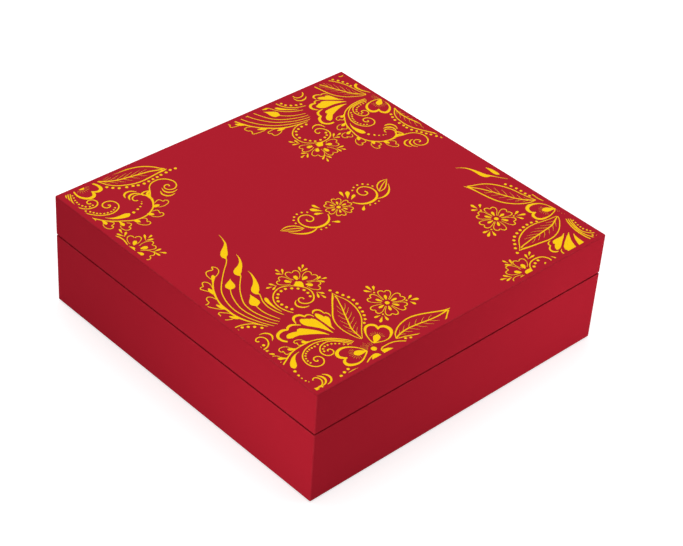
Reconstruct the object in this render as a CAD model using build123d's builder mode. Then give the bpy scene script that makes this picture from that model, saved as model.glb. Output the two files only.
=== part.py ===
from build123d import *
import os

# Square gift box for sweets, closed: a base and a lift-off lid of greyboard, each covered in
# printed paper that is turned in round its rim. A neck glued inside the base stands up into the
# lid, centres it and carries it, so a thin reveal stays open between lid and base. Half-slotted
# strips part the inside into square cells. Millimetres, +Z up, the front faces -Y, and the
# origin is on the table under the box's middle.

# Outside of the closed box
box_width = 200.0
box_depth = 200.0
base_height = 42.5
reveal_gap = 1.0
lid_height = 24.0

# Boards
base_board = 2.0
neck_board = 1.5
divider_board = 1.0

# Papers
wrap_paper = 0.2
stay_paper = 0.15
liner_paper = 0.2
sole_paper = 0.4

# Paper that is turned round an edge, and the tape legs at the corners
turn_in = 18.0
turn_under = 15.0
stay_leg = 15.0
sole_inset = 4.0
sole_corner = 3.0

# Clearances
neck_clearance = 0.3
liner_clearance = 0.5
divider_end_clearance = 0.4
slot_clearance = 0.15

# Edges as the paper leaves them
edge_radius = 0.8
rim_radius = 0.3
neck_edge_radius = 0.4

# Divider grid
cells_per_side = 3
divider_height = 48.0
divider_corner = 4.0
slot_lead = 1.0

# The lid's board is lighter than the base's by the neck's clearance, so the walls stay flush
lid_board = base_board - neck_clearance

# Levels from the table up
floor_low = sole_paper + wrap_paper
floor_top = floor_low + base_board
cell_floor = floor_top + liner_paper
base_walls_top = base_height - wrap_paper
lid_low = base_height + reveal_gap
lid_walls_low = lid_low + wrap_paper
total_height = lid_low + lid_height
lid_board_top = total_height - wrap_paper
lid_walls_top = lid_board_top - lid_board
neck_top = lid_walls_top - liner_paper

# Plan sizes: the boards' outline, then the clear inside of the base, the lid and the neck
core_width = box_width - 2 * wrap_paper
core_depth = box_depth - 2 * wrap_paper
base_between_width = core_width - 2 * base_board
base_between_depth = core_depth - 2 * base_board
base_clear_width = base_between_width - 2 * wrap_paper
base_clear_depth = base_between_depth - 2 * wrap_paper
lid_between_width = core_width - 2 * lid_board
lid_between_depth = core_depth - 2 * lid_board
lid_clear_width = lid_between_width - 2 * wrap_paper
lid_clear_depth = lid_between_depth - 2 * wrap_paper
neck_clear_width = base_clear_width - 2 * neck_board
neck_clear_depth = base_clear_depth - 2 * neck_board

# The paper's inside follows its outside edge; the boards' corners are crushed a little rounder
paper_inner_radius = edge_radius - wrap_paper
board_corner_radius = edge_radius
stay_inner_radius = board_corner_radius - stay_paper

# Each side and the turn that brings the front wall to it
side_turns = {"front": 0, "right": 90, "back": 180, "left": 270}

os.makedirs("parts", exist_ok=True)


def rounded_block(width, depth, low, high, side_radius, low_radius=0, high_radius=0):
    """A block between two levels with rounded upright, lower and upper outer edges."""
    with BuildPart() as block:
        with BuildSketch(Plane.XY.offset(low)):
            RectangleRounded(width, depth, side_radius)
        extrude(amount=high - low)
        if low_radius:
            fillet(block.faces().sort_by(Axis.Z)[0].edges(), radius=low_radius)
        if high_radius:
            fillet(block.faces().sort_by(Axis.Z)[-1].edges(), radius=high_radius)
    return block.part


def corner_angles(low, high, inner_radius):
    """The four paper angles round a tray's corners, as tall as its walls."""
    with BuildPart() as angles:
        with BuildSketch(Plane.XY.offset(low)):
            RectangleRounded(core_width, core_depth, board_corner_radius)
            RectangleRounded(
                core_width - 2 * stay_paper, core_depth - 2 * stay_paper, inner_radius, mode=Mode.SUBTRACT
            )
            Rectangle(core_width - 2 * stay_leg, core_depth, mode=Mode.SUBTRACT)
            Rectangle(core_width, core_depth - 2 * stay_leg, mode=Mode.SUBTRACT)
        extrude(amount=high - low)
    return angles.part


def run_and_across(turn, width, depth):
    """How long a wall at this turn runs, and how far apart it and the opposite wall stand."""
    return (width, depth) if turn % 180 == 0 else (depth, width)


def places_between(length, strip):
    """Centre lines of the strips that part a length into equal cells."""
    cell = (length - (cells_per_side - 1) * strip) / cells_per_side
    pitch = cell + strip
    return [(index + 1) * pitch - strip / 2 - length / 2 for index in range(cells_per_side - 1)]


# Sole sheet, pasted under the base and hiding the turned-under paper
with BuildPart() as sole_sheet:
    with BuildSketch():
        RectangleRounded(box_width - 2 * sole_inset, box_depth - 2 * sole_inset, sole_corner)
    extrude(amount=sole_paper)
sole_sheet.part.label = "sole_sheet"
export_step(sole_sheet.part, "parts/sole_sheet.step")

# Floor board, under all four walls of the base
base_core = rounded_block(
    core_width, core_depth, floor_low, base_walls_top, board_corner_radius, low_radius=board_corner_radius
)
with BuildPart() as base_floor_board:
    with BuildSketch(Plane.XY.offset(floor_low)):
        Rectangle(core_width, core_depth)
    extrude(amount=base_board)
    add(base_core, mode=Mode.INTERSECT)
base_floor_board.part.label = "base_floor_board"
export_step(base_floor_board.part, "parts/base_floor_board.step")

# Top board, over all four walls of the lid
lid_core = rounded_block(
    core_width, core_depth, lid_walls_low, lid_board_top, board_corner_radius, high_radius=board_corner_radius
)
with BuildPart() as lid_top_board:
    with BuildSketch(Plane.XY.offset(lid_walls_top)):
        Rectangle(core_width, core_depth)
    extrude(amount=lid_board)
    add(lid_core, mode=Mode.INTERSECT)
lid_top_board.part.label = "lid_top_board"
export_step(lid_top_board.part, "parts/lid_top_board.step")

# Wall boards of both trays, with the tapes that hold their corners pressed into the board.
# The front and back boards run the full width, and the left and right ones stand between them.
trays = {
    "base": (floor_top, base_walls_top, base_board, base_core),
    "lid": (lid_walls_low, lid_walls_top, lid_board, lid_core),
}
for tray, (low, high, board, core) in trays.items():
    stay_bed = corner_angles(low, high, board_corner_radius)
    for side, turn in side_turns.items():
        run, across = run_and_across(turn, core_width, core_depth)
        wall_length = run if side in ("front", "back") else run - 2 * board
        with BuildPart() as wall_board:
            with BuildSketch(Plane.XY.offset(low).rotated((0, 0, turn))):
                with Locations((0, (board - across) / 2)):
                    Rectangle(wall_length, board)
            extrude(amount=high - low)
            add(core, mode=Mode.INTERSECT)
            add(stay_bed, mode=Mode.SUBTRACT)
        wall_board.part.label = f"{tray}_{side}_board"
        export_step(wall_board.part, f"parts/{tray}_{side}_board.step")

    corner_stays = corner_angles(low, high, stay_inner_radius)
    corner_stays.label = f"{tray}_corner_stays"
    export_step(corner_stays, f"parts/{tray}_corner_stays.step")

# Paper round the base: up the walls, over the rim and down inside, and in under the floor
base_outside = rounded_block(
    box_width, box_depth, sole_paper, base_height, edge_radius, low_radius=edge_radius, high_radius=rim_radius
)
base_board_room = rounded_block(
    core_width, core_depth, floor_low, base_walls_top, paper_inner_radius, low_radius=paper_inner_radius
)
with BuildPart() as base_wrap:
    add(base_outside)
    add(base_board_room, mode=Mode.SUBTRACT)
    with BuildSketch(Plane.XY.offset(base_height - turn_in)):
        Rectangle(base_between_width, base_between_depth)
    extrude(amount=turn_in - wrap_paper)
    with BuildSketch(Plane.XY.offset(base_height - turn_in)):
        Rectangle(base_clear_width, base_clear_depth)
    extrude(amount=turn_in, mode=Mode.SUBTRACT)
    with BuildSketch(Plane.XY.offset(sole_paper)):
        Rectangle(box_width - 2 * turn_under, box_depth - 2 * turn_under)
    extrude(amount=wrap_paper, mode=Mode.SUBTRACT)
    mouth = base_wrap.faces().filter_by(Axis.Z).sort_by(Axis.Z)[-1].inner_wires()
    fillet(mouth.edges(), radius=rim_radius)
base_wrap.part.label = "base_wrap"
export_step(base_wrap.part, "parts/base_wrap.step")

# Paper over the lid: across the top, down the walls, round the rim and up inside
lid_outside = rounded_block(
    box_width, box_depth, lid_low, total_height, edge_radius, low_radius=rim_radius, high_radius=edge_radius
)
lid_board_room = rounded_block(
    core_width, core_depth, lid_walls_low, lid_board_top, paper_inner_radius, high_radius=paper_inner_radius
)
with BuildPart() as lid_wrap:
    add(lid_outside)
    add(lid_board_room, mode=Mode.SUBTRACT)
    with BuildSketch(Plane.XY.offset(lid_walls_low)):
        Rectangle(lid_between_width, lid_between_depth)
    extrude(amount=turn_in - wrap_paper)
    with BuildSketch(Plane.XY.offset(lid_low)):
        Rectangle(lid_clear_width, lid_clear_depth)
    extrude(amount=turn_in, mode=Mode.SUBTRACT)
    mouth = lid_wrap.faces().filter_by(Axis.Z).sort_by(Axis.Z)[0].inner_wires()
    fillet(mouth.edges(), radius=rim_radius)
lid_wrap.part.label = "lid_wrap"
export_step(lid_wrap.part, "parts/lid_wrap.step")

# Sheet on the lid's ceiling, which the neck's top edge meets
with BuildPart() as lid_liner:
    with BuildSketch(Plane.XY.offset(neck_top)):
        Rectangle(lid_between_width - 2 * liner_clearance, lid_between_depth - 2 * liner_clearance)
    extrude(amount=liner_paper)
lid_liner.part.label = "lid_liner"
export_step(lid_liner.part, "parts/lid_liner.step")

# Neck strips, mitred at the corners, standing on the floor board inside the base's walls
for side, turn in side_turns.items():
    run, across = run_and_across(turn, base_clear_width, base_clear_depth)
    with BuildPart() as neck_strip:
        with BuildSketch(Plane.XY.offset(floor_top).rotated((0, 0, turn))):
            with BuildLine():
                Polyline(
                    (-run / 2, -across / 2),
                    (run / 2, -across / 2),
                    (run / 2 - neck_board, neck_board - across / 2),
                    (neck_board - run / 2, neck_board - across / 2),
                    close=True,
                )
            make_face()
        extrude(amount=neck_top - floor_top)
        long_edges = neck_strip.faces().sort_by(Axis.Z)[-1].edges().sort_by(SortBy.LENGTH)[-2:]
        fillet(long_edges, radius=neck_edge_radius)
    neck_strip.part.label = f"neck_{side}"
    export_step(neck_strip.part, f"parts/neck_{side}.step")

# Greaseproof sheet on the floor, between the neck strips
with BuildPart() as floor_liner:
    with BuildSketch(Plane.XY.offset(floor_top)):
        Rectangle(neck_clear_width - 2 * liner_clearance, neck_clear_depth - 2 * liner_clearance)
    extrude(amount=liner_paper)
floor_liner.part.label = "floor_liner"
export_step(floor_liner.part, "parts/floor_liner.step")

# Divider grid: lower strips run left to right with slots open at the top, upper strips run
# front to back with slots open at the bottom, and each slot holds the other strip's full half
slot_width = divider_board + 2 * slot_clearance
slot_depth = divider_height / 2 + slot_clearance
column_places = places_between(neck_clear_width, divider_board)
row_places = places_between(neck_clear_depth, divider_board)


def divider_strip(plane, length, slot_places, mouth_up):
    """One strip standing on the floor sheet, with a flared slot at each crossing."""
    middle = cell_floor + divider_height / 2
    mouth_side = 1 if mouth_up else -1
    mouth_level = middle + mouth_side * divider_height / 2
    lead_level = mouth_level - mouth_side * slot_lead
    slot_end = mouth_level - mouth_side * slot_depth
    with BuildPart() as strip:
        with BuildSketch(plane) as outline:
            with Locations((0, middle)):
                Rectangle(length, divider_height)
            fillet(outline.vertices().group_by(Axis.Y)[-1], radius=divider_corner)
            for place in slot_places:
                slot_left = place - slot_width / 2
                slot_right = place + slot_width / 2
                with BuildLine():
                    Polyline(
                        (slot_left - slot_lead, mouth_level),
                        (slot_left, lead_level),
                        (slot_left, slot_end),
                        (slot_right, slot_end),
                        (slot_right, lead_level),
                        (slot_right + slot_lead, mouth_level),
                        close=True,
                    )
                make_face(mode=Mode.SUBTRACT)
        extrude(amount=divider_board / 2, both=True)
    return strip.part


lower_length = neck_clear_width - 2 * divider_end_clearance
for number, place in enumerate(row_places, start=1):
    strip = divider_strip(Plane.XZ.offset(-place), lower_length, column_places, mouth_up=True)
    strip.label = f"lower_divider_{number}"
    export_step(strip, f"parts/lower_divider_{number}.step")

upper_length = neck_clear_depth - 2 * divider_end_clearance
for number, place in enumerate(column_places, start=1):
    strip = divider_strip(Plane.YZ.offset(place), upper_length, row_places, mouth_up=False)
    strip.label = f"upper_divider_{number}"
    export_step(strip, f"parts/upper_divider_{number}.step")
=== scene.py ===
"""The mithai sweet box dressed for a picture: papers, boards, gold lid print, lights and camera."""

from math import cos, exp, radians, sin, tan

import bpy
from bpy.props import FloatProperty, FloatVectorProperty, PointerProperty
from bpy.types import Operator, Panel, PropertyGroup
from mathutils import Matrix, Vector


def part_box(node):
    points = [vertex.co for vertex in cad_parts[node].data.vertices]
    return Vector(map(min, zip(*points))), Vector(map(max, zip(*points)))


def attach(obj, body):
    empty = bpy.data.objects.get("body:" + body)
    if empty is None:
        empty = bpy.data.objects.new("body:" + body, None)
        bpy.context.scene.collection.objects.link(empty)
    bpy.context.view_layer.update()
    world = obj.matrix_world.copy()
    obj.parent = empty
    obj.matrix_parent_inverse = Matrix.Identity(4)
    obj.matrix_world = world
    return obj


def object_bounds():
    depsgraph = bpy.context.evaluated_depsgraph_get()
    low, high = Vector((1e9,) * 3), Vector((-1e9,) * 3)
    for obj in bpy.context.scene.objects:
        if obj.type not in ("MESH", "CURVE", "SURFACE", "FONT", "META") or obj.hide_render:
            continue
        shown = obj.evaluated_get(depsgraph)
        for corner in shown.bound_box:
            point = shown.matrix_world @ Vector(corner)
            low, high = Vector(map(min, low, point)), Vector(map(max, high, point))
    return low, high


bl_info = {
    "name": "Mithai sweet box finish",
    "version": (1, 0, 0),
    "blender": (4, 5, 0),
    "location": "3D View > Sidebar > Sweet Box",
    "description": "Papers, boards, gold lid print, lights and camera for a mithai sweet box",
    "category": "Object",
}

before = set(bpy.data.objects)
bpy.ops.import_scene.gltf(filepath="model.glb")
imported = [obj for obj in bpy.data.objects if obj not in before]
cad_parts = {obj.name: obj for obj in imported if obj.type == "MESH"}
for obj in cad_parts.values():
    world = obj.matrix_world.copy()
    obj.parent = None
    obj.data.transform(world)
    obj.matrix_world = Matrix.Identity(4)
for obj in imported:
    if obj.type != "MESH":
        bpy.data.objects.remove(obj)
cad_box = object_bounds()
lid_low, lid_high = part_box("lid_wrap")
base_low, base_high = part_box("base_wrap")

MILLIMETRE = 0.001
COLOUR = {"subtype": "COLOR", "min": 0.0, "max": 1.0}

# Touches on the papers, and a painted shade line under the lid's fold: their colours, how strongly they show
# and how far they reach
RUBBED_RED = (0.62, 0.12, 0.13, 1.0)
RUBBED_SHARE = 0.16
# painted shade: a dark line on the lid's walls just under its top fold
PAINTED_SHADE_RED = (0.06, 0.002, 0.004, 1.0)
PAINTED_SHADE_SHARE = 0.22
WEAR_AND_SHADE_REACH = 0.7 * MILLIMETRE
SPECK_GREY = (0.09, 0.08, 0.07, 1.0)
SPECK_SHARE = 0.7
CUT_CARD = (0.72, 0.68, 0.6, 1.0)
CARD_METAL = 0.85

# How pen strokes and pearls become a thin film, in millimetres
PEN_ROUNDNESS = 2
PEN_STEPS = 4
PEARL_SIDES = 12
PEARL_RINGS = 4
LEAST_SHARE = 0.6
FILM_SLOPE = 0.6
FILM_UNDERSIDE = -0.002
MERGE_DISTANCE = 0.0005
SMOOTH_BELOW = radians(50)

# The studio in metres, the camera's turns in degrees and its film in millimetres
FLOOR_GREY = (0.6, 0.6, 0.6, 1.0)
FLOOR_GLOW = 0.62
OVERHEAD_PLACE = (0.1, 0.1, 1.2)
OVERHEAD_TARGET = (0.0, 0.0, 0.06)
OVERHEAD_SIZE = 0.9
SIDE_LIGHT_GAP = 0.18
SIDE_LIGHT_SHIFT = 0.1
SIDE_LIGHT_HEIGHT = 0.034
SIDE_LIGHT_SIZE = 0.05
CAMERA_PLACE = (-0.57852, -0.58323, 0.65383)
CAMERA_TURNS = ((-45.307, "Z"), (52.825, "X"), (4.207, "Z"))
CAMERA_NEAR = 0.05
CAMERA_FILM_WIDTH = 36.0


# What a user would change

class SweetBoxPrint(PropertyGroup):
    """The gold print on the lid."""
    film: FloatProperty(
        name="Film height", description="How far the widest pen strokes stand up from the paper",
        default=0.06 * MILLIMETRE, min=0.0, unit="LENGTH", precision=6)
    margin: FloatProperty(
        name="Print margin", description="Bare red paper between the print and the lid's edges",
        default=3.0 * MILLIMETRE, min=0.0, unit="LENGTH", precision=5)
    slip: FloatVectorProperty(
        name="Slip", description="How far the print's edges sit off centre, to the right and to the back",
        size=2, default=(-0.18 * MILLIMETRE, -0.4 * MILLIMETRE), subtype="XYZ", unit="LENGTH", precision=5)
    lean: FloatProperty(
        name="Side lean", description="How far the print's left and right sides lean from the lid's sides",
        default=radians(0.35), subtype="ANGLE")
    thinning: FloatProperty(
        name="Thinning", description="How much narrower than its pen line each side of a stroke prints",
        default=0.14 * MILLIMETRE, min=0.0, unit="LENGTH", precision=6)
    gold: FloatVectorProperty(
        name="Gold", description="Colour of the gold print", default=(0.98, 0.605, 0.002), **COLOUR)


class SweetBoxPapers(PropertyGroup):
    """The papers and boards."""
    wrap: FloatVectorProperty(
        name="Wrap", description="Laminated red paper round the base and the lid",
        default=(0.432, 0.0138, 0.0280), **COLOUR)
    neck: FloatVectorProperty(
        name="Neck", description="Paper on the neck, seen in the gap under the lid",
        default=(0.075, 0.0105, 0.009), **COLOUR)
    board: FloatVectorProperty(
        name="Greyboard", description="Bare grey board", default=(0.305, 0.275, 0.231), **COLOUR)
    tape: FloatVectorProperty(
        name="Corner tape", description="Brown gummed tape that stays the corners",
        default=(0.491, 0.3515, 0.1946), **COLOUR)
    sole: FloatVectorProperty(
        name="Sole sheet", description="Dark red paper under the base",
        default=(0.188, 0.009, 0.0145), **COLOUR)
    lining: FloatVectorProperty(
        name="Lid lining", description="Cream paper inside the lid", default=(0.815, 0.76, 0.645), **COLOUR)
    greaseproof: FloatVectorProperty(
        name="Greaseproof", description="Waxed sheet that the sweets lie on",
        default=(0.84, 0.81, 0.72), **COLOUR)
    card: FloatVectorProperty(
        name="Gold card", description="Metallised card of the divider grid",
        default=(0.86, 0.53, 0.14), **COLOUR)


class SweetBoxStudio(PropertyGroup):
    """The floor, the lights and the camera."""
    floor: FloatProperty(
        name="Floor size", description="Width and depth of the pale floor", default=8.0, min=1.0,
        unit="LENGTH")
    sky: FloatProperty(
        name="Sky level", description="Strength of the plain light from all round", default=0.5, min=0.0)
    overhead: FloatProperty(
        name="Overhead light", description="Power of the large soft light above the box", default=7.4,
        min=0.0, unit="POWER")
    side: FloatProperty(
        name="Side lights", description="Power of each small soft light beside a wall", default=0.14, min=0.0,
        unit="POWER")
    lens: FloatProperty(
        name="Lens", description="Focal length in millimetres for a 36 mm wide film", default=103.95, min=1.0)


# Small steps that the pieces share

def clear_selection():
    """Leaves nothing selected and no piece open for editing."""
    if bpy.context.object and bpy.context.object.mode != "OBJECT":
        bpy.ops.object.mode_set(mode="OBJECT")
    bpy.ops.object.select_all(action="DESELECT")


def pick(*pieces):
    """Selects just these pieces, the first of them active."""
    clear_selection()
    for piece in pieces:
        piece.select_set(True)
    bpy.context.view_layer.objects.active = pieces[0]


def link(piece):
    """Puts a copied piece into the scene."""
    bpy.context.scene.collection.objects.link(piece)


def dress(names, material):
    """Gives the named nodes of the box their finish."""
    for name in names:
        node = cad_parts[name]
        if node.material_slots:
            for slot in node.material_slots:
                slot.material = material
        else:
            node.data.materials.append(material)


def group_tree(name, inputs, outputs):
    """An empty shader group with the named sockets, and the sockets of its two end nodes."""
    tree = bpy.data.node_groups.new(name, "ShaderNodeTree")
    for label, kind, value in inputs:
        socket = tree.interface.new_socket(label, in_out="INPUT", socket_type="NodeSocket" + kind)
        socket.default_value = value
    for label, kind in outputs:
        tree.interface.new_socket(label, in_out="OUTPUT", socket_type="NodeSocket" + kind)
    return tree, tree.nodes.new("NodeGroupInput").outputs, tree.nodes.new("NodeGroupOutput").inputs


def feed(tree, source, socket):
    """Links a source to a socket, or sets the socket where the source is a plain value."""
    if isinstance(source, bpy.types.NodeSocket):
        tree.links.new(source, socket)
    else:
        socket.default_value = source


def sums(tree, operation, *sources, clamp=False):
    """The outcome of one sum on sockets or plain values."""
    node = tree.nodes.new("ShaderNodeMath")
    node.operation = operation
    node.use_clamp = clamp
    for source, socket in zip(sources, node.inputs):
        feed(tree, source, socket)
    return node.outputs[0]


def apart(tree, one, other):
    """How far two values lie from each other."""
    return sums(tree, "ABSOLUTE", sums(tree, "SUBTRACT", one, other))


def blend(tree, factor, under, over):
    """The under colour, with the over colour laid on it by the factor."""
    node = tree.nodes.new("ShaderNodeMix")
    node.data_type = "RGBA"
    for source, socket in zip((factor, under, over), (node.inputs[0], node.inputs[6], node.inputs[7])):
        feed(tree, source, socket)
    return node.outputs[2]


def steps(tree, source, low, high):
    """Nothing below low, all above high, and a straight run between."""
    node = tree.nodes.new("ShaderNodeMapRange")
    for value, socket in zip((source, low, high), node.inputs):
        feed(tree, value, socket)
    return node.outputs[0]


def object_place(tree):
    """The place on the piece's own coordinates, in metres."""
    return tree.nodes.new("ShaderNodeTexCoord").outputs["Object"]


def cloud(tree, scale, detail, stretch=(1.0, 1.0, 1.0)):
    """Soft noise with that many lumps a metre, on the piece's own coordinates."""
    mapping = tree.nodes.new("ShaderNodeMapping")
    mapping.inputs["Scale"].default_value = stretch
    tree.links.new(object_place(tree), mapping.inputs["Vector"])
    node = tree.nodes.new("ShaderNodeTexNoise")
    tree.links.new(mapping.outputs[0], node.inputs["Vector"])
    feed(tree, scale, node.inputs["Scale"])
    node.inputs["Detail"].default_value = detail
    return node.outputs[0]


# Shader groups

def make_paper_grain():
    """Uneven tone, sheen and tooth of paper or board."""
    tree, given, gives = group_tree(
        "Paper grain",
        [("Colour", "Color", (0.5, 0.5, 0.5, 1.0)), ("Mottle", "Float", 0.03),
         ("Fibres a Metre", "Float", 900.0), ("Roughness", "Float", 0.5), ("Sheen Spread", "Float", 0.08)],
        [("Colour", "Color"), ("Roughness", "Float"), ("Height", "Float")])
    patches_a_metre, tooth_fineness, fibre_stretch = 45.0, 3.1, 0.45
    patch_share, tooth_share = 0.45, 0.4
    tone_gain, sheen_gain = 4.0, 2.0
    patches = cloud(tree, patches_a_metre, detail=3.0)
    fibres = cloud(tree, given["Fibres a Metre"], detail=3.0, stretch=(1.0, fibre_stretch, 1.0))
    tooth = cloud(tree, sums(tree, "MULTIPLY", given["Fibres a Metre"], tooth_fineness), detail=1.0)
    tone = sums(tree, "ADD", sums(tree, "MULTIPLY", patches, patch_share),
                sums(tree, "MULTIPLY", fibres, 1.0 - patch_share))
    tone = sums(tree, "SUBTRACT", tone, 0.5)
    shade = tree.nodes.new("ShaderNodeHueSaturation")
    value = sums(tree, "MULTIPLY_ADD", sums(tree, "MULTIPLY", tone, tone_gain), given["Mottle"], 1.0)
    feed(tree, value, shade.inputs["Value"])
    feed(tree, given["Colour"], shade.inputs["Color"])
    feed(tree, shade.outputs[0], gives["Colour"])
    sheen = sums(tree, "MULTIPLY", tone, sheen_gain)
    rough = sums(tree, "MULTIPLY_ADD", sheen, given["Sheen Spread"], given["Roughness"])
    feed(tree, rough, gives["Roughness"])
    fibre_height = sums(tree, "MULTIPLY", fibres, 1.0 - tooth_share)
    feed(tree, sums(tree, "MULTIPLY_ADD", tooth, tooth_share, fibre_height), gives["Height"])


def make_fold_rubbing_and_shade():
    """Masks of rubbed paper along the edges of a box of the given size, and of a painted shade line round its
    top.
    """
    tree, given, gives = group_tree(
        "Fold rubbing and painted shade",
        [("Half Width", "Float", 0.1), ("Half Depth", "Float", 0.1), ("Bottom", "Float", 0.0),
         ("Top", "Float", 0.05), ("Reach", "Float", 0.0008)],
        [("Wear", "Float"), ("Painted Fold Shade", "Float")])
    scuffs_a_metre, scuff_start, scuff_full, shade_line_drop = 220.0, 0.38, 0.68, 0.6
    split = tree.nodes.new("ShaderNodeSeparateXYZ")
    tree.links.new(object_place(tree), split.inputs[0])
    x, y, z = split.outputs
    from_side = apart(tree, given["Half Width"], sums(tree, "ABSOLUTE", x))
    from_front = apart(tree, given["Half Depth"], sums(tree, "ABSOLUTE", y))
    from_top = apart(tree, given["Top"], z)
    from_end = sums(tree, "MINIMUM", from_top, apart(tree, z, given["Bottom"]))
    # of the three distances the middle one is the distance to the nearest edge
    near = sums(tree, "MINIMUM", from_side, from_front)
    far = sums(tree, "MAXIMUM", from_side, from_front)
    to_edge = sums(tree, "MAXIMUM", near, sums(tree, "MINIMUM", far, from_end))
    closeness = sums(tree, "SUBTRACT", 1.0, sums(tree, "DIVIDE", to_edge, given["Reach"]), clamp=True)
    scuffs = steps(tree, cloud(tree, scuffs_a_metre, detail=4.0), scuff_start, scuff_full)
    feed(tree, sums(tree, "MULTIPLY", closeness, scuffs), gives["Wear"])
    # the painted shade line lies on the wall just under the fold
    under_fold = sums(tree, "ABSOLUTE", sums(tree, "MULTIPLY_ADD", given["Reach"], -shade_line_drop, from_top))
    to_painted_shade = sums(tree, "DIVIDE", sums(tree, "MAXIMUM", near, under_fold), given["Reach"])
    feed(tree, sums(tree, "SUBTRACT", 1.0, to_painted_shade, clamp=True), gives["Painted Fold Shade"])


def make_cut_edge():
    """A mask of the cut edges of a thin sheet, whose faces look along the given axis."""
    edge_on = 0.5
    tree, given, gives = group_tree(
        "Cut edge", [("Face Axis", "Vector", (0.0, 0.0, 1.0))], [("Cut", "Float")])
    dot = tree.nodes.new("ShaderNodeVectorMath")
    dot.operation = "DOT_PRODUCT"
    tree.links.new(tree.nodes.new("ShaderNodeTexCoord").outputs["Normal"], dot.inputs[0])
    feed(tree, given["Face Axis"], dot.inputs[1])
    facing = sums(tree, "ABSOLUTE", dot.outputs["Value"])
    feed(tree, sums(tree, "LESS_THAN", facing, edge_on), gives["Cut"])


def make_specks():
    """A mask of small dark and pale specks, as in board made of waste paper."""
    patch_start, patch_full, speck_edge, speck_core = 0.6, 0.66, 0.34, 0.2
    tree, given, gives = group_tree("Specks", [("Specks a Metre", "Float", 700.0)], [("Specks", "Float")])
    cells = tree.nodes.new("ShaderNodeTexVoronoi")
    tree.links.new(object_place(tree), cells.inputs["Vector"])
    feed(tree, given["Specks a Metre"], cells.inputs["Scale"])
    chosen = steps(tree, cloud(tree, given["Specks a Metre"], detail=1.0), patch_start, patch_full)
    dots = steps(tree, cells.outputs["Distance"], speck_edge, speck_core)
    feed(tree, sums(tree, "MULTIPLY", dots, chosen), gives["Specks"])


def use_group(tree, name, values):
    """A shader group put to use, with its named inputs fed."""
    node = tree.nodes.new("ShaderNodeGroup")
    node.node_tree = bpy.data.node_groups[name]
    for label, value in values.items():
        feed(tree, value, node.inputs[label])
    return node


def finish(name, colour, roughness, gloss, mottle=0.03, fibres=900.0, sheen=0.08, tooth=0.02, metal=0.0):
    """A material of grained paper or card, with its tree, shader and grain node for further touches.

    Fibres are counted to the metre and the tooth is in millimetres."""
    material = bpy.data.materials.new(name)
    material.use_nodes = True
    tree = material.node_tree
    shader = tree.nodes["Principled BSDF"]
    grain = use_group(tree, "Paper grain", {
        "Colour": (*colour, 1.0), "Mottle": mottle, "Fibres a Metre": fibres, "Roughness": roughness,
        "Sheen Spread": sheen})
    bump = tree.nodes.new("ShaderNodeBump")
    bump.inputs["Strength"].default_value = 1.0
    bump.inputs["Distance"].default_value = tooth * MILLIMETRE
    tree.links.new(grain.outputs["Colour"], shader.inputs["Base Color"])
    tree.links.new(grain.outputs["Roughness"], shader.inputs["Roughness"])
    tree.links.new(grain.outputs["Height"], bump.inputs["Height"])
    tree.links.new(bump.outputs["Normal"], shader.inputs["Normal"])
    shader.inputs["Specular IOR Level"].default_value = gloss
    shader.inputs["Metallic"].default_value = metal
    return material, tree, shader, grain


class SWEETBOX_OT_shader_groups(Operator):
    """Make the shader groups that the papers and boards share"""
    bl_idname = "sweetbox.shader_groups"
    bl_label = "Shader groups"

    def execute(self, context):
        for make in (make_paper_grain, make_fold_rubbing_and_shade, make_cut_edge, make_specks):
            make()
        return {"FINISHED"}


# The papers and boards

class SWEETBOX_OT_red_wraps(Operator):
    """Finish the laminated red paper round the base and the lid, with a painted shade line under the lid's
    fold
    """
    bl_idname = "sweetbox.red_wraps"
    bl_label = "Red wraps"

    def execute(self, context):
        colour = context.scene.sweetbox_papers.wrap
        for name, low, high in (("base_wrap", base_low, base_high), ("lid_wrap", lid_low, lid_high)):
            material, tree, shader, grain = finish(
                f"Laminated red paper, {name.split('_')[0]}", colour, roughness=0.5, gloss=0.002,
                mottle=0.018, fibres=1100.0, sheen=0.05, tooth=0.006)
            rubbing_and_shade = use_group(tree, "Fold rubbing and painted shade", {
                "Half Width": high.x, "Half Depth": high.y, "Bottom": low.z, "Top": high.z,
                "Reach": WEAR_AND_SHADE_REACH})
            rubbed = sums(tree, "MULTIPLY", rubbing_and_shade.outputs["Wear"], RUBBED_SHARE)
            paper = blend(tree, rubbed, grain.outputs["Colour"], RUBBED_RED)
            if name == "lid_wrap":
                # painted shade: a dark line on the lid's walls just under its top fold
                painted_fold_shade = sums(tree, "MULTIPLY", rubbing_and_shade.outputs["Painted Fold Shade"], PAINTED_SHADE_SHARE)
                paper = blend(tree, painted_fold_shade, paper, PAINTED_SHADE_RED)
            tree.links.new(paper, shader.inputs["Base Color"])
            dress([name], material)
        return {"FINISHED"}


class SWEETBOX_OT_neck_cover(Operator):
    """Finish the dark paper on the neck"""
    bl_idname = "sweetbox.neck_cover"
    bl_label = "Neck cover"

    def execute(self, context):
        material, *_ = finish("Dark neck paper", context.scene.sweetbox_papers.neck, roughness=0.6,
                              gloss=0.15, mottle=0.04, tooth=0.012)
        dress([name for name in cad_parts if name.startswith("neck_")], material)
        return {"FINISHED"}


class SWEETBOX_OT_boards(Operator):
    """Finish the bare greyboard of the walls, the floor and the lid"""
    bl_idname = "sweetbox.boards"
    bl_label = "Greyboard"

    def execute(self, context):
        material, tree, shader, grain = finish(
            "Greyboard", context.scene.sweetbox_papers.board, roughness=0.9, gloss=0.2, mottle=0.06,
            fibres=600.0, tooth=0.05)
        specks = use_group(tree, "Specks", {"Specks a Metre": 650.0})
        shown = sums(tree, "MULTIPLY", specks.outputs[0], SPECK_SHARE)
        tree.links.new(blend(tree, shown, grain.outputs["Colour"], SPECK_GREY), shader.inputs["Base Color"])
        dress([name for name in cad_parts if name.endswith("_board")], material)
        return {"FINISHED"}


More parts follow.
